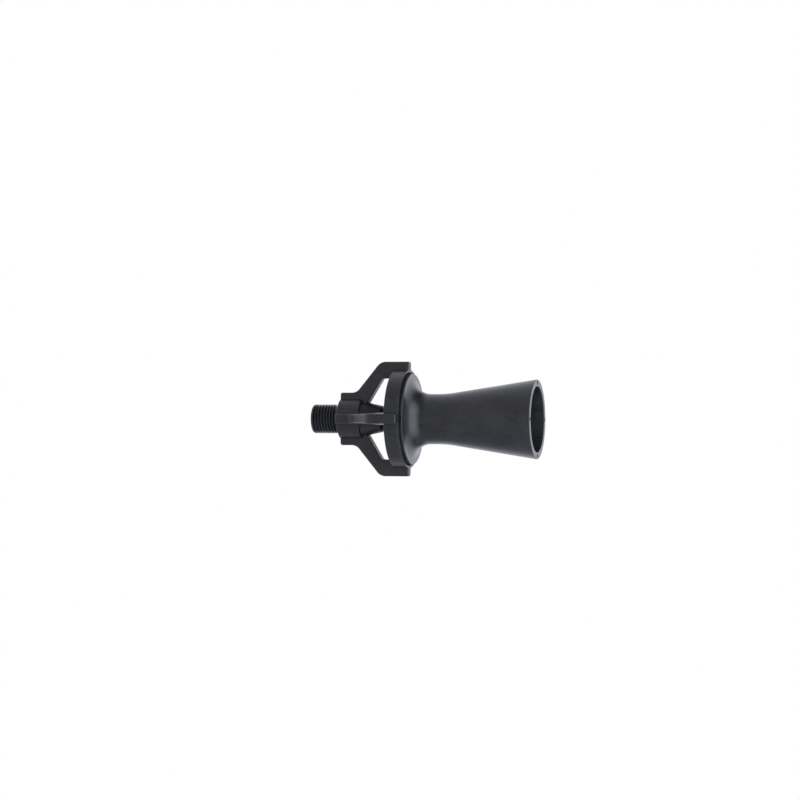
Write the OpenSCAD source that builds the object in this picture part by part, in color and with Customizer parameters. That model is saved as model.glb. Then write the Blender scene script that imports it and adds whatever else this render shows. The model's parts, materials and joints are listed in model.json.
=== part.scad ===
// Jet eductor: a threaded jet nozzle whose four arms hold a flared diffuser on the same axis.
// The flow runs along +X. The origin is the centre of the hub's inlet face, where the thread ends.

/* [Inlet thread] */
// Outside diameter of the pipe thread
thread_d = 13.6; // [12.8:0.1:15]
// Length of the threaded shank in front of the hub
thread_len = 13.3; // [10:0.1:18]
// Length of the tapered lead-in at the inlet end
lead_in_len = 0.9; // [0.4:0.1:2.4]
// Depth of the lead-in, taken off the thread's radius
lead_in_depth = 0.3; // [0.1:0.1:1]
// Diameter of the inlet bore
inlet_bore_d = 7.9; // [5.6:0.1:9]

/* [Hub and jet nozzle] */
// Diameter of the round hub
hub_d = 19; // [17.4:0.1:22.6]
// Length of the hub
hub_len = 10.8; // [8.4:0.1:13]
// Diameter of the jet nozzle where it leaves the hub
jet_base_d = 16.4; // [14:0.1:17]
// Diameter of the jet nozzle where its tip starts to close in
jet_tip_d = 12.4; // [10:0.1:13.4]
// Diameter of the flat face around the orifice
jet_face_d = 9; // [6.6:0.1:9.6]
// Length of the jet nozzle past the hub
jet_len = 10.5; // [7.6:0.1:13]
// Length of the closing tip
jet_tip_len = 1.5; // [0.6:0.1:2.8]
// Diameter of the jet orifice
orifice_d = 4.7; // [1.8:0.1:5.4]
// Length of the straight orifice
orifice_len = 2.8; // [1:0.1:4.6]
// Length of the taper from the inlet bore down to the orifice
jet_taper_len = 11.3; // [5.6:0.1:15]
// Rounding of the hub's edges
hub_round = 0.4; // [0.1:0.1:1]

/* [Arms] */
// Number of arms around the hub
arm_count = 4; // [3:1:6]
// Width of an arm
arm_w = 4.9; // [2.8:0.1:7.4]
// Diameter over the ribs that carry the arms along the hub
rib_d = 24.8; // [23.6:0.1:30]
// Diameter over the arms
arm_d = 53.8; // [50:0.1:62]
// Distance from the hub's inlet face to where an arm starts to rise from its rib
arm_rise_x = 7.7; // [4.6:0.1:10]
// Distance from the hub's inlet face to where an arm reaches its full diameter
arm_crest_x = 19.5; // [17:0.1:24]
// Rounding where an arm rises from its rib
arm_rise_round = 4.2; // [0.5:0.1:6]
// Rounding where an arm reaches its full diameter
arm_crest_round = 4.7; // [0.5:0.1:7.6]
// Length of the web between the hub's end and an arm's inner edge, along the jet nozzle
web_len = 3.1; // [1:0.1:5]
// Diameter across the arms' inner edges, in front of the ring
window_d = 38; // [37.6:0.1:41.4]
// Distance from the hub's inlet face to where an arm's inner edge turns along the axis
window_turn_x = 20.5; // [16.6:0.1:23.6]
// Rounding of that turn
window_round = 1.1; // [0.2:0.1:3]
// Rounding of an arm's two end corners
arm_round = 0.4; // [0.1:0.1:1]

/* [Ring] */
// Distance from the hub's inlet face to the outlet end of the ring
body_len = 33.4; // [31:0.1:39.4]
// Width of the ring along the axis
ring_w = 6.8; // [5:0.1:8.6]
// Outside diameter of the ring
ring_d = 46.1; // [45.2:0.1:49.4]
// Clear diameter through the lip that the diffuser seats against
lip_d = 37.2; // [32:0.1:37.4]
// Depth of the socket that takes the diffuser's flange
socket_depth = 3.4; // [2:0.1:4.4]
// Gap around the flange in its socket
socket_gap = 0.2; // [0.1:0.05:0.5]
// Chamfer at the mouth of the socket
socket_chamfer = 0.4; // [0.1:0.1:0.8]
// Rounding of the ring's outer edges
ring_round = 0.6; // [0.2:0.1:1.2]

/* [Diffuser] */
// Diameter of the diffuser's flange
flange_d = 42.6; // [40.4:0.1:43.4]
// Distance that the flange stands out of the ring
flange_proud = 1.7; // [0.6:0.1:3]
// Rounding of the flange's outer edge
flange_round = 0.3; // [0.1:0.1:0.5]
// Radius of the hollow blend from the flange into the throat
flange_blend = 8.5; // [4:0.1:9]
// Outside diameter of the throat
throat_d = 23.5; // [21:0.1:25.6]
// Diameter of the mixing bore through the throat
throat_bore_d = 17.1; // [13.4:0.1:18.6]
// Distance from the flange's outer face to where the throat starts to flare
throat_len = 16.1; // [13:0.1:22]
// Radius of the blend from the throat into the flare
flare_blend = 47; // [20:1:76]
// Distance from the inlet face to the outlet face
overall_len = 107.7; // [94:0.1:122]
// Outside diameter of the outlet
outlet_d = 37.1; // [30:0.1:44]
// Wall of the diffuser at the outlet
outlet_wall = 3.2; // [2:0.1:4.8]
// Rounding of the outlet's edges
outlet_round = 0.4; // [0.1:0.1:0.8]
// Number of blind holes in the outlet's rim
hole_count = 4; // [2:1:8]
// Diameter of a rim hole
hole_d = 1.9; // [0.8:0.1:2.2]
// Depth of a rim hole
hole_depth = 2; // [0.5:0.1:2.4]

/* [Hidden] */
$fn = 96;

// Flat strips along each rounded corner
arc_steps = 12;
// Length by which a cut runs past the face that it opens
cut_over = 1;

// Radii that follow from the diameters
thread_r = thread_d / 2;
inlet_bore_r = inlet_bore_d / 2;
hub_r = hub_d / 2;
jet_base_r = jet_base_d / 2;
orifice_r = orifice_d / 2;
rib_r = rib_d / 2;
arm_r = arm_d / 2;
window_r = window_d / 2;
ring_r = ring_d / 2;
lip_r = lip_d / 2;
flange_r = flange_d / 2;
socket_r = flange_r + socket_gap;
throat_r = throat_d / 2;
throat_bore_r = throat_bore_d / 2;
outlet_r = outlet_d / 2;
outlet_bore_r = outlet_r - outlet_wall;

// The hollow blend leaves the flange's rounded edge free
blend_r = min(flange_blend, flange_r - flange_round - throat_r);

// Stations along the axis
inlet_x = -thread_len;
jet_x = hub_len + jet_len;
ring_x = body_len - ring_w;
seat_x = body_len - socket_depth;
flange_x = body_len + flange_proud;
flare_x = flange_x + throat_len;
outlet_x = overall_len - thread_len;

// An arm is rooted inside the wall of the hub and of the ring
root_r = inlet_bore_r + (hub_r - inlet_bore_r) / 3;
wall_r = (socket_r + ring_r) / 2;
lip_x = (ring_x + seat_x) / 2;

// An arm's inner edge runs straight from the foot of the jet nozzle to its turn
window_foot = [hub_len + web_len, jet_base_r];
window_turn = [window_turn_x, window_r];
window_slope = (window_turn.y - window_foot.y) / (window_turn.x - window_foot.x);
window_root = [window_foot.x - (window_foot.y - root_r) / window_slope, root_r];

function unit(v) = v / norm(v);

// Points of an arc of radius r that rounds the corner at b between the points a and c
function rounded(a, b, c, r) =
    let (
        u = unit(a - b),
        v = unit(c - b),
        half = acos(u * v) / 2,
        centre = b + unit(u + v) * r / sin(half),
        from = b + u * r / tan(half) - centre,
        start = atan2(from.y, from.x),
        sweep = sign(cross(v, u)) * (180 - 2 * half)
    )
    [for (i = [0 : arc_steps])
        let (angle = start + sweep * i / arc_steps)
        centre + r * [cos(angle), sin(angle)]];

// A solid of revolution about the flow axis, from points of station and radius
module revolved(points) {
    rotate([0, 90, 0])
        rotate_extrude()
            polygon([for (p = points) [p.y, p.x]]);
}

// Threaded shank, hub and jet nozzle, turned about the flow axis around the passage through them
module core() {
    shoulder = [0, thread_r];
    hub_front = [0, hub_r];
    hub_back = [hub_len, hub_r];
    jet_base = [hub_len, jet_base_r];
    revolved(concat(
        [
            [inlet_x, inlet_bore_r],
            [inlet_x, thread_r - lead_in_depth],
            [inlet_x + lead_in_len, thread_r],
            shoulder
        ],
        rounded(shoulder, hub_front, hub_back, hub_round),
        rounded(hub_front, hub_back, jet_base, hub_round),
        [
            jet_base,
            [jet_x - jet_tip_len, jet_tip_d / 2],
            [jet_x, jet_face_d / 2],
            [jet_x, orifice_r],
            [jet_x - orifice_len, orifice_r],
            [jet_x - orifice_len - jet_taper_len, inlet_bore_r]
        ]
    ));
}

// One arm: a rib along the hub, a strut out to full diameter and a foot over the ring
module arm() {
    rib_start = [0, rib_r];
    rib_end = [arm_rise_x, rib_r];
    crest = [arm_crest_x, arm_r];
    arm_end = [body_len, arm_r];
    foot_end = [body_len, wall_r];
    rotate([90, 0, 0])
        linear_extrude(height = arm_w, center = true)
            polygon(concat(
                [[0, root_r]],
                rounded([0, root_r], rib_start, rib_end, arm_round),
                rounded(rib_start, rib_end, crest, arm_rise_round),
                rounded(rib_end, crest, arm_end, arm_crest_round),
                rounded(crest, arm_end, foot_end, arm_round),
                [foot_end, [lip_x, wall_r], [lip_x, window_r]],
                rounded([lip_x, window_r], window_turn, window_root, window_round),
                [window_root]
            ));
}

// Ring with a stepped socket for the diffuser's flange
module ring() {
    front = [ring_x, ring_r];
    back = [body_len, ring_r];
    revolved(concat(
        [[ring_x, lip_r]],
        rounded([ring_x, lip_r], front, back, ring_round),
        rounded(front, back, [body_len, socket_r], ring_round),
        [
            [body_len, socket_r + socket_chamfer],
            [body_len - socket_chamfer, socket_r],
            [seat_x, socket_r],
            [seat_x, lip_r]
        ]
    ));
}

// Threaded jet nozzle with its arms and ring, moulded in one piece
module nozzle_body() {
    color([0.13, 0.13, 0.14]) {
        core();
        ring();
        for (i = [0 : arm_count - 1])
            rotate([360 * i / arm_count, 0, 0]) arm();
    }
}

// Flange, hollow blend, throat and flare outside; bell mouth, mixing bore and cone inside
module diffuser_wall() {
    rim = [flange_x, flange_r];
    neck = [flange_x, throat_r];
    flare = [flare_x, throat_r];
    lip_out = [outlet_x, outlet_r];
    lip_in = [outlet_x, outlet_bore_r];
    bore_flare = [flare_x, throat_bore_r];
    bell = [seat_x, throat_bore_r];
    revolved(concat(
        [[seat_x, flange_r]],
        rounded([seat_x, flange_r], rim, neck, flange_round),
        rounded(rim, neck, flare, blend_r),
        rounded(neck, flare, lip_out, flare_blend),
        rounded(flare, lip_out, lip_in, outlet_round),
        rounded(lip_out, lip_in, bore_flare, outlet_round),
        rounded(lip_in, bore_flare, bell, flare_blend),
        rounded(bore_flare, bell, [seat_x, lip_r], lip_r - throat_bore_r)
    ));
}

// Diffuser with the blind holes in its outlet rim
module diffuser() {
    color([0.14, 0.14, 0.15])
        difference() {
            diffuser_wall();
            for (i = [0 : hole_count - 1])
                rotate([360 * i / hole_count, 0, 0])
                    translate([outlet_x - hole_depth, 0, outlet_r - outlet_wall / 2])
                        rotate([0, 90, 0])
                            cylinder(d = hole_d, h = hole_depth + cut_over);
        }
}

nozzle_body();
diffuser();
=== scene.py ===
import json
import math

import bmesh
import bpy
from bpy.props import FloatProperty, FloatVectorProperty, IntProperty, PointerProperty
from mathutils import Matrix, Vector


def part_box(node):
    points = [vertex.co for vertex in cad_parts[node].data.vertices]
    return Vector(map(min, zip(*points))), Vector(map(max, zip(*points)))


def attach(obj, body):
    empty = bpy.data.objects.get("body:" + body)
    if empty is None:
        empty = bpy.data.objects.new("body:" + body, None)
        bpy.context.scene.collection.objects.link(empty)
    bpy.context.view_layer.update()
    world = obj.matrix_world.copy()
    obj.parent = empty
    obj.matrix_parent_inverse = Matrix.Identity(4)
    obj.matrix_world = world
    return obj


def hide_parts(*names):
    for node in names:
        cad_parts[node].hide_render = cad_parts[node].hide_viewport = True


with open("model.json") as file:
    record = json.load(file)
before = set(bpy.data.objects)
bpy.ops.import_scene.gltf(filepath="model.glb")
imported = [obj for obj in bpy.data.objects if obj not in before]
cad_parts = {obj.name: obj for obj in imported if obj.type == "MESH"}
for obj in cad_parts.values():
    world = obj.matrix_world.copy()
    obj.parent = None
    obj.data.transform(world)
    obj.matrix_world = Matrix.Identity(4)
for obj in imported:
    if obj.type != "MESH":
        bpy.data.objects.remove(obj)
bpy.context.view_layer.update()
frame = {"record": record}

bl_info = {
    "name": "Jet Eductor",
    "version": (1, 0, 0),
    "blender": (4, 5, 0),
    "location": "View3D > Sidebar > Eductor",
    "description": "Builds a moulded jet eductor and its studio",
    "category": "Add Mesh",
}

MM = 0.001
BODY_LOW, BODY_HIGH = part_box("nozzle_body")
DIFFUSER_LOW, DIFFUSER_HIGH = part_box("diffuser")
THREAD_RADIUS = frame["record"]["mounts"][0]["dims"]["r_mm"] * MM
FLOW_AXIS = Vector((1.0, 0.0, 0.0))

# Steps of a full turn, around a rim hole and across a rounded edge
TURN_STEPS = 128
HOLE_STEPS = 32
EDGE_STEPS = 6
# Length of one step along a rounded corner, and the fewest and most steps around it
CORNER_STEP = 0.45 * MM
CORNER_LEAST = 3
CORNER_MOST = 24
# Faces that meet at less than this angle are shaded as one smooth surface
SMOOTH_ANGLE = math.radians(32.0)
# Vertices closer than this are one vertex
MERGE_DISTANCE = 0.0005 * MM
# Step between the end faces of solids that are joined flush, so that no two lie in one plane
FLUSH_STEP = 0.005 * MM
# Width of the lead-in collar's flank beside its height
FLANK = math.tan(math.radians(30.0))
# Depth to which the thread's foot is sunk into the shank, so that the two join
THREAD_SINK = 0.25 * MM
# Rounding of an arm's outline corners beside that of its edges, which need this room to run round
CORNER_SHARE = 1.05
# A face of an arm is one of its sides if its normal points across by more than this
SIDE_TILT = 0.5

# Noise in the plastic: clouds of tone, flow marks and the fine grain of a spark-eroded mould
CLOUD = {"Scale": 70.0, "Detail": 3.0, "Roughness": 0.55}
FLOW = {"Scale": 480.0, "Detail": 4.0, "Roughness": 0.6}
GRAIN = {"Scale": 2600.0, "Detail": 2.0, "Roughness": 0.5}
# Scale of the flow marks on each axis, which draws them out along the flow
FLOW_STRETCH = (0.6, 1.0, 1.0)
# Shares of the clouds and the flow marks in the tone, and its stops from the dark to the pale colour
CLOUD_TONE = 0.55
FLOW_TONE = 0.45
TONE_STOPS = [(0.36, 0.0), (0.64, 1.0)]
# Most that the clouds and the grain add to the roughness
CLOUD_ROUGHNESS = 0.12
GRAIN_ROUGHNESS = 0.10
# Shares of the grain and the flow marks in the relief, its height and its strength
GRAIN_RELIEF = 0.7
FLOW_RELIEF = 0.3
RELIEF_HEIGHT = 0.06 * MM
RELIEF_STRENGTH = 0.20
PLASTIC_IOR = 1.5
# Sockets of a Mix node that mixes colours
MIX_FIRST = 6
MIX_SECOND = 7
MIX_RESULT = 2

# Width of the camera's sensor in millimetres
SENSOR_WIDTH = 36.0
# Share of plain white in the floor as the camera sees it. The rest is lit and takes shadows.
FLOOR_WHITE = 0.985
# Direction of the tent's slit about the vertical
SLIT_SIDE = math.radians(-78.0)
# Levels of the tent from straight behind the part, at 0, to the slit's side, at 1
TENT_LEVELS = [(0.10, 1.46), (0.40, 1.24), (0.55, 1.07), (0.80, 0.86), (1.00, 0.75)]
# Spans over which the tent changes, by how steep a direction is, how far it lies beside the slit
# on the outlet's side, and how far it faces the slit
TOP_STEEP = (0.2, 0.9)
CORNER_STEEP = (0.45, 0.70)
CORNER_BESIDE = (-0.05, 0.25)
SLIT_BESIDE = (0.04, 0.28)
SLIT_FACING = (-0.35, 0.05)


def length(name, description, default):
    """A property that holds a length in metres."""
    return FloatProperty(name=name, description=description, default=default, min=0.0, precision=5,
                         unit="LENGTH", subtype="DISTANCE")


def angle(name, description, default, **limits):
    """A property that holds an angle in radians."""
    return FloatProperty(name=name, description=description, default=default, subtype="ANGLE",
                         unit="ROTATION", **limits)


def share(name, description, default, most=1.0):
    """A property that holds a share from nothing up to the most that makes sense."""
    return FloatProperty(name=name, description=description, default=default, min=0.0, max=most,
                         subtype="FACTOR")


def count(name, description, default, least, most):
    """A property that holds a number of like features."""
    return IntProperty(name=name, description=description, default=default, min=least, max=most)


def colour(name, description, default):
    """A property that holds a linear colour."""
    return FloatVectorProperty(name=name, description=description, default=default, size=3, min=0.0,
                               max=1.0, subtype="COLOR")


def point(name, description, default):
    """A property that holds a place in metres."""
    return FloatVectorProperty(name=name, description=description, default=default, size=3,
                               subtype="TRANSLATION", unit="LENGTH")


class NozzleBodySettings(bpy.types.PropertyGroup):
    """Sizes of the threaded moulding with the jet nozzle, the arms and the ring"""

    thread_pitch: length("Thread Pitch", "Distance between thread crests", 1.411 * MM)
    thread_depth: length("Thread Depth", "Height of the thread from root to crest", 0.95 * MM)
    thread_crest: length("Thread Crest", "Width of the flat along a thread's crest", 0.34 * MM)
    thread_start: angle("Thread Start", "Side of the shank at which the thread starts",
                        math.radians(146.25))
    lead_in: length("Lead-in", "Length of the tapered collar in front of the thread", 0.9 * MM)
    lead_depth: length("Lead-in Depth", "How far the collar's radius shrinks to the inlet", 0.3 * MM)
    run_out: length("Run-out", "Plain length of shank between the thread and the hub", 0.9 * MM)
    inlet_bore: length("Inlet Bore", "Radius of the inlet bore", 3.95 * MM)
    hub_radius: length("Hub Radius", "Radius of the round hub", 9.5 * MM)
    hub_length: length("Hub Length", "Length of the hub", 10.8 * MM)
    jet_base: length("Jet Base", "Radius of the jet nozzle at the hub", 8.2 * MM)
    jet_shoulder: length("Jet Shoulder", "Radius of the jet nozzle where its tip closes in", 6.2 * MM)
    jet_face: length("Jet Face", "Radius of the flat face around the orifice", 4.9 * MM)
    jet_length: length("Jet Length", "Length of the jet nozzle past the hub", 10.5 * MM)
    jet_tip: length("Jet Tip", "Length of the closing tip", 1.15 * MM)
    orifice: length("Orifice", "Radius of the jet orifice", 2.35 * MM)
    orifice_length: length("Orifice Length", "Length of the straight orifice", 2.8 * MM)
    jet_taper: length("Jet Taper", "Length of the taper from the inlet bore to the orifice", 11.3 * MM)
    arm_count: count("Arms", "Number of arms around the hub", 4, 3, 6)
    arm_width: length("Arm Width", "Width of an arm's outer face", 4.35 * MM)
    arm_draft: angle("Arm Draft", "Slope of an arm's sides", math.radians(5.0), min=0.0,
                     max=math.radians(15.0))
    rib_radius: length("Rib Radius", "Radius over the ribs along the hub", 12.4 * MM)
    arm_rise: length("Arm Rise", "Where an arm leaves its rib", 7.7 * MM)
    arm_crest: length("Arm Crest", "Where an arm reaches its full radius", 19.5 * MM)
    rise_round: length("Rise Rounding", "Rounding where an arm leaves its rib", 4.2 * MM)
    crest_round: length("Crest Rounding", "Rounding where an arm reaches its full radius", 4.7 * MM)
    web_length: length("Web Length", "Web between the hub's end and an arm's inner edge", 3.1 * MM)
    window_radius: length("Window Radius", "Radius of the arms' inner edges before the ring", 19.0 * MM)
    window_turn: length("Window Turn", "Where an arm's inner edge turns along the axis", 20.5 * MM)
    window_round: length("Window Rounding", "Rounding of that turn", 1.1 * MM)
    ring_width: length("Ring Width", "Width of the ring along the axis", 6.8 * MM)
    ring_radius: length("Ring Radius", "Outside radius of the ring", 23.05 * MM)
    lip_radius: length("Lip Radius", "Clear radius through the ring's lip", 18.6 * MM)
    socket_gap: length("Socket Gap", "Gap around the flange in its socket", 0.2 * MM)
    socket_round: length("Socket Rounding", "Rounding of the socket's mouth", 1.0 * MM)
    arm_edge: length("Arm Edge Rounding", "Rounding of the edges along an arm", 0.8 * MM)
    edge: length("Edge Rounding", "Rounding of the other moulded edges", 0.45 * MM)


class DiffuserSettings(bpy.types.PropertyGroup):
    """Sizes of the flared moulding that seats in the ring"""

    flange_proud: length("Flange Proud", "Distance that the flange stands out of the ring", 1.7 * MM)
    groove_depth: length("Groove Depth", "Depth of the groove round the flange at the ring", 0.25 * MM)
    groove_width: length("Groove Width", "Width of that groove inside the ring's socket", 0.6 * MM)
    flange_blend: length("Flange Blend", "Radius of the hollow blend into the throat", 8.5 * MM)
    throat_radius: length("Throat Radius", "Outside radius of the throat", 11.75 * MM)
    throat_bore: length("Throat Bore", "Radius of the mixing bore", 8.55 * MM)
    bell_round: length("Bell Rounding", "Radius of the bell mouth into the mixing bore", 10.0 * MM)
    throat_length: length("Throat Length", "From the flange to where the flare starts", 16.1 * MM)
    flare_blend: length("Flare Blend", "Radius of the blend from throat to flare", 47.0 * MM)
    outlet_radius: length("Outlet Radius", "Outside radius of the outlet", 18.55 * MM)
    outlet_wall: length("Outlet Wall", "Wall at the outlet", 3.2 * MM)
    hole_count: count("Rim Holes", "Blind holes in the outlet's rim", 4, 2, 8)
    hole_radius: length("Hole Radius", "Radius of a rim hole", 0.95 * MM)
    hole_depth: length("Hole Depth", "Depth of a rim hole", 2.0 * MM)
    edge: length("Edge Rounding", "Rounding of the moulded edges", 0.35 * MM)


class FinishSettings(bpy.types.PropertyGroup):
    """Colours and roughness of the filled black plastic"""

    body_dark: colour("Body Dark", "Darkest tone of the body", (0.0028, 0.0029, 0.0040))
    body_pale: colour("Body Pale", "Palest tone of the body", (0.0152, 0.0158, 0.0188))
    body_roughness: share("Body Roughness", "Least roughness of the body", 0.30, 0.8)
    diffuser_dark: colour("Diffuser Dark", "Darkest tone of the diffuser", (0.0030, 0.0031, 0.0042))
    diffuser_pale: colour("Diffuser Pale", "Palest tone of the diffuser", (0.0165, 0.0172, 0.0205))
    diffuser_roughness: share("Diffuser Roughness", "Least roughness of the diffuser", 0.21, 0.8)


class StageSettings(bpy.types.PropertyGroup):
    """Camera, floor and light"""

    camera_place: point("Camera", "Place of the camera", (0.32715, -1.12209, -0.00564))
    camera_turn: angle("Camera Turn", "Turn of the view about the vertical", math.radians(14.903))
    camera_rise: angle("Camera Rise", "How far the view points upwards", math.radians(0.719))
    camera_roll: angle("Camera Roll", "Turn of the camera about its view", math.radians(0.23))
    lens: FloatProperty(name="Lens", description="Focal length in millimetres", default=111.33, min=1.0)
    floor_drop: length("Floor Drop", "Height of the part over the floor", 1.2)
    floor_size: length("Floor Size", "Side of the floor", 1.8)
    floor_matte: colour("Floor Matte", "Colour of the floor as the part reflects it", (0.72, 0.73, 0.76))
    backdrop: colour("Backdrop", "Colour of the backdrop and floor to the camera", (1.0, 1.0, 1.0))
    tent: colour("Tent", "Colour of the light that the tent throws on the part", (0.90, 0.915, 1.0))
    overhead: FloatProperty(name="Overhead", default=0.80, min=0.0, max=2.0,
                            description="Level of the tent's top and bottom beside its sides")
    slit_depth: share("Slit Depth", "How much darker the tent is at its slit", 0.62)
    corner_depth: share("Corner Depth", "How much darker the tent's corners are", 0.90)
    box_place: point("Soft Box", "Place of the soft box's centre", (0.88, -0.42, -0.10))
    box_width: length("Soft Box Width", "Width of the soft box", 1.0)
    box_height: length("Soft Box Height", "Height of the soft box", 2.4)
    box_power: FloatProperty(name="Soft Box Power", description="Power of the soft box in watts",
                             default=18.0, min=0.0)


class Value:
    """A shader socket. Sums and products of values add Math nodes to its tree."""

    def __init__(self, nodes, socket):
        self.nodes = nodes
        self.socket = socket

    def _math(self, operation, first, second):
        return self.nodes.node("ShaderNodeMath", {"operation": operation}, {0: first, 1: second})

    def __add__(self, other):
        return self._math("ADD", self, other)

    def __radd__(self, other):
        return self._math("ADD", other, self)

    def __sub__(self, other):
        return self._math("SUBTRACT", self, other)

    def __rsub__(self, other):
        return self._math("SUBTRACT", other, self)

    def __mul__(self, other):
        return self._math("MULTIPLY", self, other)

    def __rmul__(self, other):
        return self._math("MULTIPLY", other, self)

    def __abs__(self):
        return self._math("ABSOLUTE", self, 0.0)


class Nodes:
    """The node tree of a material or a world, with one method that adds any node."""

    def __init__(self, owner):
        owner.use_nodes = True
        self.tree = owner.node_tree
        self.tree.nodes.clear()

    def node(self, kind, settings=None, sockets=None, output=0):
        """Adds a node, sets it up, fills its sockets with values or links, and returns one output."""
        made = self.tree.nodes.new(kind)
        for name, setting in (settings or {}).items():
            if name == "stops":
                set_stops(made.color_ramp, setting)
            else:
                setattr(made, name, setting)
        for name, value in (sockets or {}).items():
            if isinstance(value, Value):
                self.tree.links.new(value.socket, made.inputs[name])
            else:
                made.inputs[name].default_value = value
        if not made.outputs:
            return None
        return Value(self, made.outputs[output])

    def step(self, value, span, low, high):
        """A smooth step from low to high as a value goes from the span's start to its end."""
        start, end = span
        sockets = {"Value": value, "From Min": start, "From Max": end, "To Min": low, "To Max": high}
        return self.node("ShaderNodeMapRange", {"interpolation_type": "SMOOTHSTEP"}, sockets)

    def mix(self, factor, first, second):
        """A colour from the first, where the factor is 0, to the second, where it is 1."""
        sockets = {"Factor": factor, MIX_FIRST: (*first, 1.0), MIX_SECOND: (*second, 1.0)}
        return self.node("ShaderNodeMix", {"data_type": "RGBA"}, sockets, output=MIX_RESULT)

    def along(self, vector, direction):
        """How far a vector reaches along a direction."""
        return self.node("ShaderNodeVectorMath", {"operation": "DOT_PRODUCT"}, {0: vector, 1: direction},
                         output="Value")


def set_stops(ramp, stops):
    """Gives a colour ramp its stops, as (position, grey) pairs."""
    while len(ramp.elements) < len(stops):
        ramp.elements.new(0.5)
    for element, (position, grey) in zip(ramp.elements, stops):
        element.position = position
        element.color = (grey, grey, grey, 1.0)


def moulded_plastic(name, dark, pale, roughness):
    """Black filled plastic: cloudy tone, flow marks drawn out along the flow, and a fine grain."""
    material = bpy.data.materials.new(name)
    nodes = Nodes(material)
    place = nodes.node("ShaderNodeTexCoord", output="Object")
    drawn = nodes.node("ShaderNodeMapping", {"vector_type": "POINT"},
                       {"Vector": place, "Scale": FLOW_STRETCH})
    cloud = nodes.node("ShaderNodeTexNoise", None, {"Vector": place, **CLOUD})
    flow = nodes.node("ShaderNodeTexNoise", None, {"Vector": drawn, **FLOW})
    grain = nodes.node("ShaderNodeTexNoise", None, {"Vector": place, **GRAIN})
    tone = nodes.node("ShaderNodeValToRGB", {"stops": TONE_STOPS},
                      {"Fac": cloud * CLOUD_TONE + flow * FLOW_TONE})
    relief = nodes.node("ShaderNodeBump", None, {
        "Strength": RELIEF_STRENGTH,
        "Distance": RELIEF_HEIGHT,
        "Height": grain * GRAIN_RELIEF + flow * FLOW_RELIEF,
    })
    shader = nodes.node("ShaderNodeBsdfPrincipled", None, {
        "Base Color": nodes.mix(tone, dark, pale),
        "Roughness": roughness + cloud * CLOUD_ROUGHNESS + grain * GRAIN_ROUGHNESS,
        "IOR": PLASTIC_IOR,
        "Normal": relief,
    })
    nodes.node("ShaderNodeOutputMaterial", None, {"Surface": shader})
    return material


def rounded_outline(mesh, corners):
    """Draws one face in the XZ plane from (x, z, rounding) corners, with each corner rounded."""
    verts = [mesh.verts.new((x, 0.0, z)) for x, z, _ in corners]
    mesh.faces.new(verts)
    for vert, (_, _, radius) in zip(verts, corners):
        if radius:
            round_corner(mesh, vert, radius)
    return mesh.faces[:][0]


def round_corner(mesh, vert, radius):
    """Rounds one corner of a flat outline to a radius."""
    ends = [edge.other_vert(vert).co - vert.co for edge in vert.link_edges]
    half = ends[0].angle(ends[1]) / 2
    steps = max(CORNER_LEAST, math.ceil(radius * (math.pi - 2 * half) / CORNER_STEP))
    bmesh.ops.bevel(mesh, geom=[vert], offset=radius / math.tan(half), offset_type="OFFSET",
                    segments=min(steps, CORNER_MOST), profile=0.5, affect="VERTICES",
                    clamp_overlap=False, material=-1)
    mesh.faces.ensure_lookup_table()


def closed(mesh):
    """Merges doubled vertices and turns every face outwards."""
    bmesh.ops.remove_doubles(mesh, verts=mesh.verts, dist=MERGE_DISTANCE)
    bmesh.ops.recalc_face_normals(mesh, faces=mesh.faces)
    return mesh


def turned(corners):
    """A closed solid turned about the flow axis from an outline of (x, radius, rounding) corners."""
    mesh = bmesh.new()
    face = rounded_outline(mesh, corners)
    bmesh.ops.delete(mesh, geom=[face], context="FACES_ONLY")
    bmesh.ops.spin(mesh, geom=mesh.verts[:] + mesh.edges[:], cent=(0.0, 0.0, 0.0), axis=FLOW_AXIS,
                   angle=2 * math.pi, steps=TURN_STEPS, use_merge=True)
    return closed(mesh)


def swing(mesh, turn):
    """Swings a whole mesh about the flow axis."""
    bmesh.ops.rotate(mesh, verts=mesh.verts, cent=(0.0, 0.0, 0.0),
                     matrix=Matrix.Rotation(turn, 3, FLOW_AXIS))


def to_object(mesh, name):
    """Puts a finished bmesh into a new object of the scene."""
    data = bpy.data.meshes.new(name)
    mesh.to_mesh(data)
    mesh.free()
    made = bpy.data.objects.new(name, data)
    bpy.context.scene.collection.objects.link(made)
    return made


def combined(base, others, operation):
    """Joins solids to the base, or cuts them out of it, and returns the result as a bmesh."""
    for other in others:
        joint = base.modifiers.new(other.name, "BOOLEAN")
        joint.operation = operation
        joint.solver = "EXACT"
        joint.object = other
    evaluated = base.evaluated_get(bpy.context.evaluated_depsgraph_get())
    mesh = bmesh.new()
    mesh.from_mesh(evaluated.to_mesh())
    evaluated.to_mesh_clear()
    for spent in [base, *others]:
        bpy.data.objects.remove(spent)
    return closed(mesh)


def shade(mesh):
    """Shades the faces smooth, with a sharp edge wherever two faces meet at a wide angle."""
    for face in mesh.faces:
        face.smooth = True
    for edge in mesh.edges:
        edge.smooth = edge.calc_face_angle(math.pi) < SMOOTH_ANGLE
    return mesh


def finished(mesh, name, node, material):
    """Makes the piece that stands for a node, with its finish, riding on the part's one body."""
    piece = to_object(shade(mesh), name)
    piece.data.materials.append(material)
    flat = piece.modifiers.new("Flat Faces", "WEIGHTED_NORMAL")
    flat.keep_sharp = True
    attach(piece, "root")
    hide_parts(node)
    return piece


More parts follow.
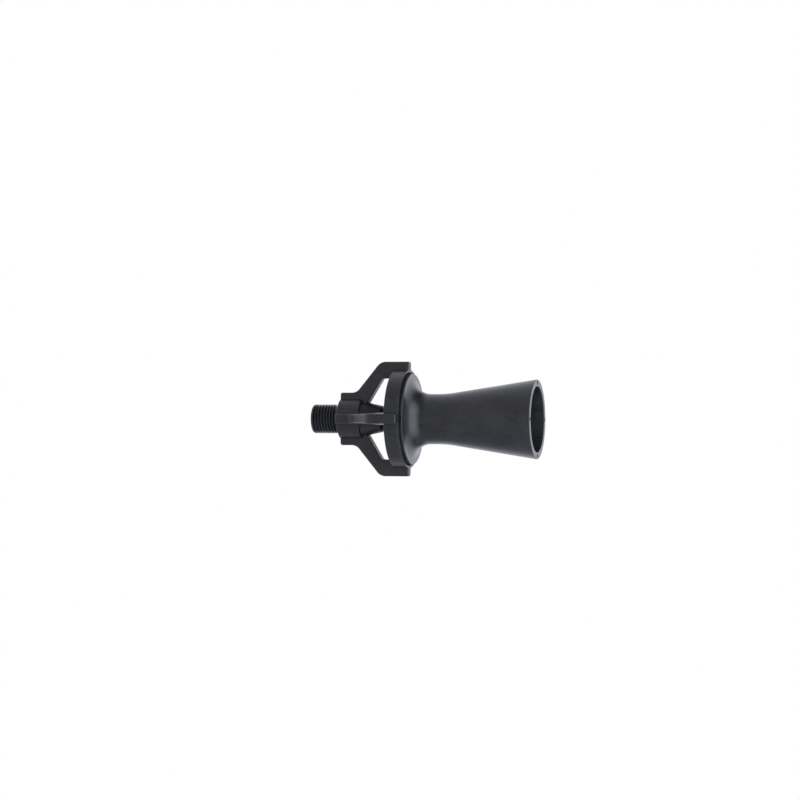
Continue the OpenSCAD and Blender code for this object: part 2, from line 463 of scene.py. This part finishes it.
def shank_and_jet(sizes):
    """Shank at the thread's root, collar, hub and jet nozzle, turned around the passage through them."""
    inlet_x = BODY_LOW.x
    collar_x = inlet_x + sizes.lead_in
    root = THREAD_RADIUS - sizes.thread_depth
    jet_x = sizes.hub_length + sizes.jet_length
    taper_x = jet_x - sizes.orifice_length
    fine = sizes.edge / 2
    orifice_round = 2 * sizes.edge
    taper_round = 4 * sizes.edge
    return turned([
        (inlet_x, sizes.inlet_bore, sizes.edge),
        (inlet_x, THREAD_RADIUS - sizes.lead_depth, fine),
        (collar_x, THREAD_RADIUS, 0.0),
        (collar_x + sizes.thread_depth * FLANK, root, 0.0),
        (0.0, root, fine),
        (0.0, sizes.hub_radius, sizes.edge),
        (sizes.hub_length, sizes.hub_radius, sizes.edge),
        (sizes.hub_length, sizes.jet_base, fine),
        (jet_x - sizes.jet_tip, sizes.jet_shoulder, fine),
        (jet_x, sizes.jet_face, fine),
        (jet_x, sizes.orifice, fine),
        (taper_x, sizes.orifice, orifice_round),
        (taper_x - sizes.jet_taper, sizes.inlet_bore, taper_round),
    ])


def thread_ridge(sizes):
    """The pipe thread's one helical ridge, from the collar to where it dies out before the hub."""
    root = THREAD_RADIUS - sizes.thread_depth
    foot = root - THREAD_SINK
    half_base = sizes.thread_pitch / 2
    half_crest = sizes.thread_crest / 2
    start_x = BODY_LOW.x + sizes.lead_in + half_crest
    reach = -sizes.run_out - half_base - start_x
    turns = reach / sizes.thread_pitch
    steps = round(turns * TURN_STEPS)
    mesh = bmesh.new()
    section = [mesh.verts.new((start_x + x, 0.0, z)) for x, z in (
        (-half_base, foot), (half_base, foot), (half_crest, THREAD_RADIUS), (-half_crest, THREAD_RADIUS))]
    edges = [mesh.edges.new((a, b)) for a, b in zip(section, section[1:] + section[:1])]
    mesh.faces.new(section)
    spun = bmesh.ops.spin(mesh, geom=section + edges, cent=(0.0, 0.0, 0.0), axis=FLOW_AXIS,
                          dvec=FLOW_AXIS * (reach / steps), angle=2 * math.pi * turns, steps=steps,
                          use_merge=False)
    last = [item for item in spun["geom_last"] if isinstance(item, bmesh.types.BMVert)]
    bmesh.ops.contextual_create(mesh, geom=last)
    for vert in mesh.verts:
        lower_to_run_out(vert, root, sizes)
    swing(mesh, sizes.thread_start)
    return closed(mesh)


def lower_to_run_out(vert, root, sizes):
    """Lowers a thread vertex under the cone on which the thread dies out before the hub."""
    rise = min(1.0, max(0.0, (-sizes.run_out - vert.co.x) / sizes.thread_pitch))
    limit = root + (THREAD_RADIUS - root) * rise
    radius = math.hypot(vert.co.y, vert.co.z)
    if radius > limit:
        vert.co.y *= limit / radius
        vert.co.z *= limit / radius


def arm(sizes, index):
    """One arm with sloping sides: a rib along the hub, a strut out to full radius, a foot on the ring."""
    end_x = BODY_HIGH.x
    ring_x = end_x - sizes.ring_width
    inside_hub = (sizes.inlet_bore + sizes.hub_radius) / 2
    inside_ring = (sizes.ring_radius + DIFFUSER_HIGH.z) / 2
    inside_lip = (ring_x + DIFFUSER_LOW.x) / 2
    foot_x = sizes.hub_length + sizes.web_length
    slope = (sizes.window_radius - sizes.jet_base) / (sizes.window_turn - foot_x)
    corner = CORNER_SHARE * sizes.arm_edge
    mesh = bmesh.new()
    face = rounded_outline(mesh, [
        (FLUSH_STEP, inside_hub, 0.0),
        (FLUSH_STEP, sizes.rib_radius, corner),
        (sizes.arm_rise, sizes.rib_radius, sizes.rise_round),
        (sizes.arm_crest, BODY_HIGH.z, sizes.crest_round),
        (end_x, BODY_HIGH.z, corner),
        (end_x, inside_ring, 0.0),
        (inside_lip, inside_ring, 0.0),
        (inside_lip, sizes.window_radius, 0.0),
        (sizes.window_turn, sizes.window_radius, sizes.window_round),
        (foot_x - (sizes.jet_base - inside_hub) / slope, inside_hub, 0.0),
    ])
    raised = bmesh.ops.extrude_face_region(mesh, geom=[face])["geom"]
    across = Vector((0.0, sizes.arm_width, 0.0))
    bmesh.ops.translate(mesh, verts=[v for v in raised if isinstance(v, bmesh.types.BMVert)], vec=across)
    bmesh.ops.translate(mesh, verts=mesh.verts, vec=-across / 2)
    closed(mesh)
    slope_sides(mesh, sizes)
    window, outside = arm_edges(mesh, foot_x, sizes)
    for edges, rounding in ((window, sizes.edge), (outside, sizes.arm_edge)):
        bmesh.ops.bevel(mesh, geom=[e for e in edges if e.is_valid], offset=rounding,
                        offset_type="OFFSET", segments=EDGE_STEPS, profile=0.5, affect="EDGES",
                        clamp_overlap=True, material=-1)
    swing(mesh, 2 * math.pi * index / sizes.arm_count)
    return closed(mesh)


def slope_sides(mesh, sizes):
    """Slopes an arm's sides away from its outer face, with a fold across them at both bends."""
    rise = Vector((sizes.arm_rise, 0.0, sizes.rib_radius))
    crest = Vector((sizes.arm_crest, 0.0, BODY_HIGH.z))
    strut = Vector((sizes.arm_crest - sizes.arm_rise, 0.0, BODY_HIGH.z - sizes.rib_radius)).normalized()
    inwards = Vector((strut.z, 0.0, -strut.x))
    fold = inwards + Vector((0.0, 0.0, 1.0))
    for bend in (rise, crest):
        bmesh.ops.bisect_plane(mesh, geom=mesh.verts[:] + mesh.edges[:] + mesh.faces[:],
                               dist=MERGE_DISTANCE, plane_co=bend, plane_no=fold)
    for vert in mesh.verts:
        under_strut = inwards.dot(vert.co - rise)
        depth = max(rise.z - vert.co.z, min(under_strut, crest.z - vert.co.z))
        vert.co.y += math.copysign(depth * math.tan(sizes.arm_draft), vert.co.y)
    mesh.normal_update()


def arm_edges(mesh, foot_x, sizes):
    """The edges along an arm's sides that show: those at the window, and those outside hub and ring."""
    window = []
    outside = []
    for edge in mesh.edges:
        if len({abs(face.normal.y) > SIDE_TILT for face in edge.link_faces}) < 2:
            continue
        middle = (edge.verts[0].co + edge.verts[1].co) / 2
        past_foot = middle.x > foot_x
        if past_foot and middle.z < sizes.window_radius + MERGE_DISTANCE:
            window.append(edge)
        if middle.z > (sizes.ring_radius if past_foot else sizes.jet_base):
            outside.append(edge)
    return window, outside


def ring(sizes):
    """Ring with the stepped socket that takes the diffuser's flange."""
    end_x = BODY_HIGH.x - FLUSH_STEP
    ring_x = BODY_HIGH.x - sizes.ring_width
    socket = DIFFUSER_HIGH.z + sizes.socket_gap
    fine = sizes.edge / 2
    return turned([
        (ring_x, sizes.lip_radius, sizes.edge),
        (ring_x, sizes.ring_radius, sizes.edge),
        (end_x, sizes.ring_radius, fine),
        (end_x, socket, sizes.socket_round),
        (DIFFUSER_LOW.x, socket, 0.0),
        (DIFFUSER_LOW.x, sizes.lip_radius, fine),
    ])


def diffuser_wall(sizes):
    """Flange, hollow blend, throat and flare outside; bell mouth, mixing bore and cone inside."""
    seat_x = DIFFUSER_LOW.x
    flange_x = BODY_HIGH.x + sizes.flange_proud
    flare_x = flange_x + sizes.throat_length
    outlet_x = DIFFUSER_HIGH.x
    outlet_bore = sizes.outlet_radius - sizes.outlet_wall
    return turned([
        (seat_x, DIFFUSER_HIGH.z, sizes.edge),
        (BODY_HIGH.x - sizes.groove_width, DIFFUSER_HIGH.z, 0.0),
        (BODY_HIGH.x, DIFFUSER_HIGH.z - sizes.groove_depth, sizes.edge),
        (flange_x, DIFFUSER_HIGH.z, sizes.edge),
        (flange_x, sizes.throat_radius, sizes.flange_blend),
        (flare_x, sizes.throat_radius, sizes.flare_blend),
        (outlet_x, sizes.outlet_radius, sizes.edge),
        (outlet_x, outlet_bore, sizes.edge),
        (flare_x, sizes.throat_bore, sizes.flare_blend),
        (seat_x, sizes.throat_bore, sizes.bell_round),
    ])


def rim_hole(sizes, index):
    """A pin, half of it inside the outlet's rim, that cuts one blind hole."""
    mesh = bmesh.new()
    along_flow = Matrix.Rotation(math.pi / 2, 4, "Y")
    bmesh.ops.create_cone(mesh, cap_ends=True, segments=HOLE_STEPS, radius1=sizes.hole_radius,
                          radius2=sizes.hole_radius, depth=2 * sizes.hole_depth, matrix=along_flow)
    rim_middle = sizes.outlet_radius - sizes.outlet_wall / 2
    bmesh.ops.translate(mesh, verts=mesh.verts, vec=(DIFFUSER_HIGH.x, 0.0, rim_middle))
    swing(mesh, 2 * math.pi * index / sizes.hole_count)
    return closed(mesh)


class EDUCTOR_OT_nozzle_body(bpy.types.Operator):
    """Build the threaded moulding with the jet nozzle, the arms and the ring"""

    bl_idname = "eductor.nozzle_body"
    bl_label = "Nozzle Body"

    def execute(self, context):
        sizes = context.scene.eductor_body
        finish = context.scene.eductor_finish
        core = to_object(shank_and_jet(sizes), "core")
        others = [to_object(thread_ridge(sizes), "thread"), to_object(ring(sizes), "ring")]
        others += [to_object(arm(sizes, i), "arm_%d" % i) for i in range(sizes.arm_count)]
        moulding = combined(core, others, "UNION")
        plastic = moulded_plastic("body plastic", finish.body_dark, finish.body_pale,
                                  finish.body_roughness)
        finished(moulding, "nozzle_body_moulding", "nozzle_body", plastic)
        return {"FINISHED"}


class EDUCTOR_OT_diffuser(bpy.types.Operator):
    """Build the flared moulding that seats in the ring"""

    bl_idname = "eductor.diffuser"
    bl_label = "Diffuser"

    def execute(self, context):
        sizes = context.scene.eductor_diffuser
        finish = context.scene.eductor_finish
        wall = to_object(diffuser_wall(sizes), "wall")
        pins = [to_object(rim_hole(sizes, i), "hole_%d" % i) for i in range(sizes.hole_count)]
        moulding = combined(wall, pins, "DIFFERENCE")
        plastic = moulded_plastic("diffuser plastic", finish.diffuser_dark, finish.diffuser_pale,
                                  finish.diffuser_roughness)
        finished(moulding, "diffuser_moulding", "diffuser", plastic)
        return {"FINISHED"}


class EDUCTOR_OT_stage(bpy.types.Operator):
    """Set up the camera, the pale floor and the soft studio light"""

    bl_idname = "eductor.stage"
    bl_label = "Stage"

    def execute(self, context):
        settings = context.scene.eductor_stage
        context.scene.view_settings.view_transform = "Standard"
        set_camera(settings)
        set_floor(settings)
        set_world(settings)
        set_light(settings)
        return {"FINISHED"}


def set_camera(settings):
    """A long lens at the photograph's viewing angle."""
    data = bpy.data.cameras.new("camera")
    data.lens = settings.lens
    data.sensor_width = SENSOR_WIDTH
    camera = bpy.data.objects.new("camera", data)
    camera.location = settings.camera_place
    turn = Matrix.Rotation(settings.camera_turn, 3, "Z")
    rise = Matrix.Rotation(math.pi / 2 + settings.camera_rise, 3, "X")
    roll = Matrix.Rotation(settings.camera_roll, 3, "Z")
    camera.rotation_euler = (turn @ rise @ roll).to_euler()
    bpy.context.scene.collection.objects.link(camera)
    bpy.context.scene.camera = camera


def set_floor(settings):
    """A pale floor, as white as the backdrop to the camera but for a trace of shadow."""
    mesh = bmesh.new()
    bmesh.ops.create_grid(mesh, x_segments=1, y_segments=1, size=settings.floor_size / 2)
    bmesh.ops.translate(mesh, verts=mesh.verts, vec=(0.0, 0.0, BODY_LOW.z - settings.floor_drop))
    floor = to_object(mesh, "floor")
    material = bpy.data.materials.new("pale floor")
    nodes = Nodes(material)
    seen = nodes.node("ShaderNodeLightPath", output="Is Camera Ray")
    matte = nodes.node("ShaderNodeBsdfDiffuse", None, {"Color": (*settings.floor_matte, 1.0)})
    glow = nodes.node("ShaderNodeEmission", None, {"Color": (*settings.backdrop, 1.0), "Strength": 1.0})
    surface = nodes.node("ShaderNodeMixShader", None, {0: seen * FLOOR_WHITE, 1: matte, 2: glow})
    nodes.node("ShaderNodeOutputMaterial", None, {"Surface": surface})
    floor.data.materials.append(material)


def set_world(settings):
    """A white tent, brightest behind the part and duller above and below. A dark slit for the camera
    runs up its front and over its top, and its upper and lower corners at the outlet's side are dark."""
    world = bpy.data.worlds.new("studio")
    nodes = Nodes(world)
    way = nodes.node("ShaderNodeTexCoord", output="Generated")
    facing = nodes.along(way, (math.cos(SLIT_SIDE), math.sin(SLIT_SIDE), 0.0))
    beside = nodes.along(way, (-math.sin(SLIT_SIDE), math.cos(SLIT_SIDE), 0.0))
    steep = abs(nodes.along(way, (0.0, 0.0, 1.0)))
    tent = nodes.node("ShaderNodeValToRGB", {"stops": TENT_LEVELS}, {"Fac": facing * 0.5 + 0.5})
    top = nodes.step(steep, TOP_STEEP, 1.0, settings.overhead)
    corner = nodes.step(steep, CORNER_STEEP, 0.0, settings.corner_depth)
    outlet_side = nodes.step(beside, CORNER_BESIDE, 0.0, 1.0)
    slit = nodes.step(abs(beside), SLIT_BESIDE, settings.slit_depth, 0.0)
    front = nodes.step(facing, SLIT_FACING, 0.0, 1.0)
    level = tent * top * (1 - slit * front) * (1 - corner * outlet_side)
    seen = nodes.node("ShaderNodeLightPath", output="Is Camera Ray")
    light = nodes.node("ShaderNodeBackground", None, {
        "Color": nodes.mix(seen, settings.tent, settings.backdrop),
        "Strength": seen + (1 - seen) * level,
    })
    nodes.node("ShaderNodeOutputWorld", None, {"Surface": light})
    bpy.context.scene.world = world


def set_light(settings):
    """One tall soft box at the outlet's side, turned to the part."""
    data = bpy.data.lights.new("soft box", "AREA")
    data.shape = "RECTANGLE"
    data.size = settings.box_width
    data.size_y = settings.box_height
    data.energy = settings.box_power
    data.color = settings.tent
    light = bpy.data.objects.new("soft box", data)
    light.location = settings.box_place
    towards = Vector((-light.location.x, -light.location.y, 0.0))
    light.rotation_euler = towards.to_track_quat("-Z", "Y").to_euler()
    light.visible_camera = False
    bpy.context.scene.collection.objects.link(light)


class EDUCTOR_PT_panel(bpy.types.Panel):
    """Builds the eductor's pieces and its stage"""

    bl_idname = "EDUCTOR_PT_panel"
    bl_label = "Jet Eductor"
    bl_space_type = "VIEW_3D"
    bl_region_type = "UI"
    bl_category = "Eductor"

    def draw(self, context):
        for operator, settings in STEPS:
            box = self.layout.box()
            box.operator(operator.bl_idname)
            show_settings(box, getattr(context.scene, settings))
        box = self.layout.box()
        box.label(text="Finish")
        show_settings(box, context.scene.eductor_finish)


def show_settings(box, group):
    """Lists a group's settings in a box of the panel."""
    for name in group.bl_rna.properties.keys():
        if name not in {"rna_type", "name"}:
            box.prop(group, name)


SETTINGS = {
    "eductor_body": NozzleBodySettings,
    "eductor_diffuser": DiffuserSettings,
    "eductor_finish": FinishSettings,
    "eductor_stage": StageSettings,
}
STEPS = (
    (EDUCTOR_OT_nozzle_body, "eductor_body"),
    (EDUCTOR_OT_diffuser, "eductor_diffuser"),
    (EDUCTOR_OT_stage, "eductor_stage"),
)
CLASSES = (*SETTINGS.values(), *(operator for operator, _ in STEPS), EDUCTOR_PT_panel)


def register():
    for cls in CLASSES:
        bpy.utils.register_class(cls)
    for name, group in SETTINGS.items():
        setattr(bpy.types.Scene, name, PointerProperty(type=group))


def unregister():
    for name in SETTINGS:
        delattr(bpy.types.Scene, name)
    for cls in reversed(CLASSES):
        bpy.utils.unregister_class(cls)


def main():
    register()
    bpy.ops.eductor.nozzle_body()
    bpy.ops.eductor.diffuser()
    bpy.ops.eductor.stage()


if __name__ == "__main__":
    main()
